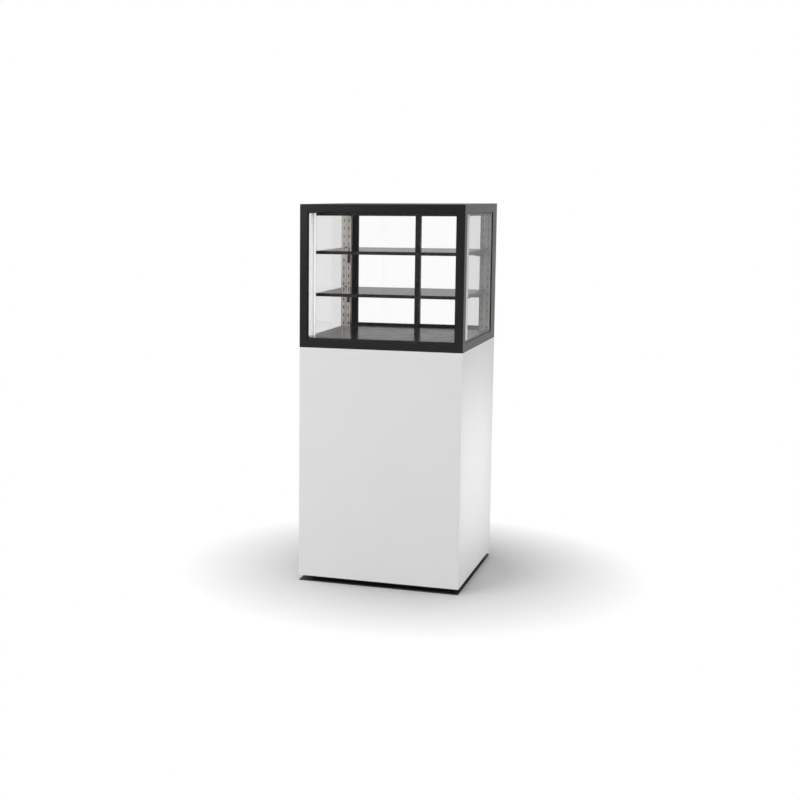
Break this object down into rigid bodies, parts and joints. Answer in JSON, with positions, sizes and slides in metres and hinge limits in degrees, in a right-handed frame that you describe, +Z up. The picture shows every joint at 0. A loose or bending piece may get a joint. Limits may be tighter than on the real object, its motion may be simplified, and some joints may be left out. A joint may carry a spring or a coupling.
{
  "type": "hot food display case",
  "caption": "Free-standing square hot food display: glazed case with black frame, heated shelves and rear sliding doors on a tall white plinth with heater, fan and controls.",
  "frame": {"origin": "on the floor, under the centre of the footprint", "axes": "+Z up, -Y towards the customer side (front glass), +Y towards the staff side (sliding doors)"},
  "size_m": [0.6, 0.6, 1.386],
  "materials": {
    "white_panel": "satin white powder coat",
    "black_frame": "satin black powder coat",
    "black_glass": "polished black toughened glass, enamelled underneath",
    "black_enamel": "gloss black enamel",
    "clear_glass": "clear toughened glass, polished edges",
    "white_aluminium": "white coated extrusion",
    "opal_lens": "opal diffuser",
    "stainless": "brushed stainless steel",
    "zinc_steel": "zinc plated steel",
    "cast_motor": "dark grey enamel",
    "aluminium_bare": "bare aluminium",
    "black_plastic": "fine textured black plastic",
    "rocker_plastic": "gloss black plastic",
    "gasket_rubber": "black silicone",
    "foil_rubber": "red-brown silicone heater mat",
    "magnet": "plastic-bonded magnet in a black case"
  },
  "bodies": {
    "cabinet": {"base_bolts": "zinc_steel", "base_plate": "black_frame", "bottom_front_rail": "black_frame", "bottom_rear_rail": "black_frame", "bottom_side_rails": "black_frame", "canopy": "black_frame", "canopy_lenses": "opal_lens", "control_box": "zinc_steel", "control_fascia": "black_frame", "deck_plate": "black_enamel", "door_magnet": "magnet", "door_pivots": "stainless", "element_clips": "zinc_steel", "fan_inlet_ring": "stainless", "fan_motor": "cast_motor", "frame_screws": "zinc_steel", "front_glass": "clear_glass", "front_panel": "white_panel", "front_post_left": "black_frame", "front_post_right": "black_frame", "glazing_gaskets": "gasket_rubber", "heater_foils": "foil_rubber", "heater_pan": "stainless", "heating_element": "stainless", "kick_frame": "black_frame", "led_driver": "black_plastic", "led_lenses": "opal_lens", "led_posts": "white_aluminium", "plinth_floor": "zinc_steel", "power_inlet": "black_plastic", "rear_posts": "black_frame", "roof_panel": "black_frame", "shelf_arms": "black_frame", "shelf_glass_middle": "black_glass", "shelf_glass_upper": "black_glass", "shelf_middle": "black_frame", "shelf_upper": "black_frame", "side_glass_left": "clear_glass", "side_glass_right": "clear_glass", "side_panel_left": "white_panel", "side_panel_right": "white_panel", "switch_housings": "black_plastic", "temperature_display": "black_plastic", "thermostat": "black_plastic", "thermostat_bulb": "stainless", "top_front_rail": "black_frame", "top_rear_rail": "black_frame", "top_side_rails": "black_frame", "upright_left": "stainless", "upright_right": "stainless"},
    "left_door": {"door_left_frame": "black_frame", "door_left_glass": "clear_glass"},
    "right_door": {"door_right_frame": "black_frame", "door_right_glass": "clear_glass"},
    "service_door_leaf": {"service_door": "white_panel", "service_door_pull": "black_plastic"},
    "knob": {"thermostat_knob": "black_plastic"},
    "power_switch": {"power_rocker": "rocker_plastic"},
    "light_switch": {"light_rocker": "rocker_plastic"},
    "fan": {"fan_rotor": "aluminium_bare"}
  },
  "joints": [
    {"name": "left_door_slide", "type": "slide", "parent": "cabinet", "child": "left_door", "axis": [1, 0, 0], "range_m": [0, 0.25]},
    {"name": "right_door_slide", "type": "slide", "parent": "cabinet", "child": "right_door", "axis": [1, 0, 0], "range_m": [-0.25, 0]},
    {"name": "service_door_hinge", "type": "hinge", "parent": "cabinet", "child": "service_door_leaf", "pos_m": [-0.266, 0.2935, 0.385], "axis": [0, 0, 1], "range_deg": [0, 110]},
    {"name": "thermostat_turn", "type": "hinge", "parent": "cabinet", "child": "knob", "pos_m": [0.12, 0.285, 0.8092], "axis": [0, -1, 0], "range_deg": [0, 270]},
    {"name": "power_switch_rock", "type": "hinge", "parent": "cabinet", "child": "power_switch", "pos_m": [-0.06, 0.277, 0.8092], "axis": [1, 0, 0], "range_deg": [-18, 0]},
    {"name": "light_switch_rock", "type": "hinge", "parent": "cabinet", "child": "light_switch", "pos_m": [0, 0.277, 0.8092], "axis": [1, 0, 0], "range_deg": [-18, 0]},
    {"name": "fan_spin", "type": "hinge", "parent": "cabinet", "child": "fan", "pos_m": [0, -0.02, 0.83], "axis": [0, 0, 1], "continuous": true}
  ]
}
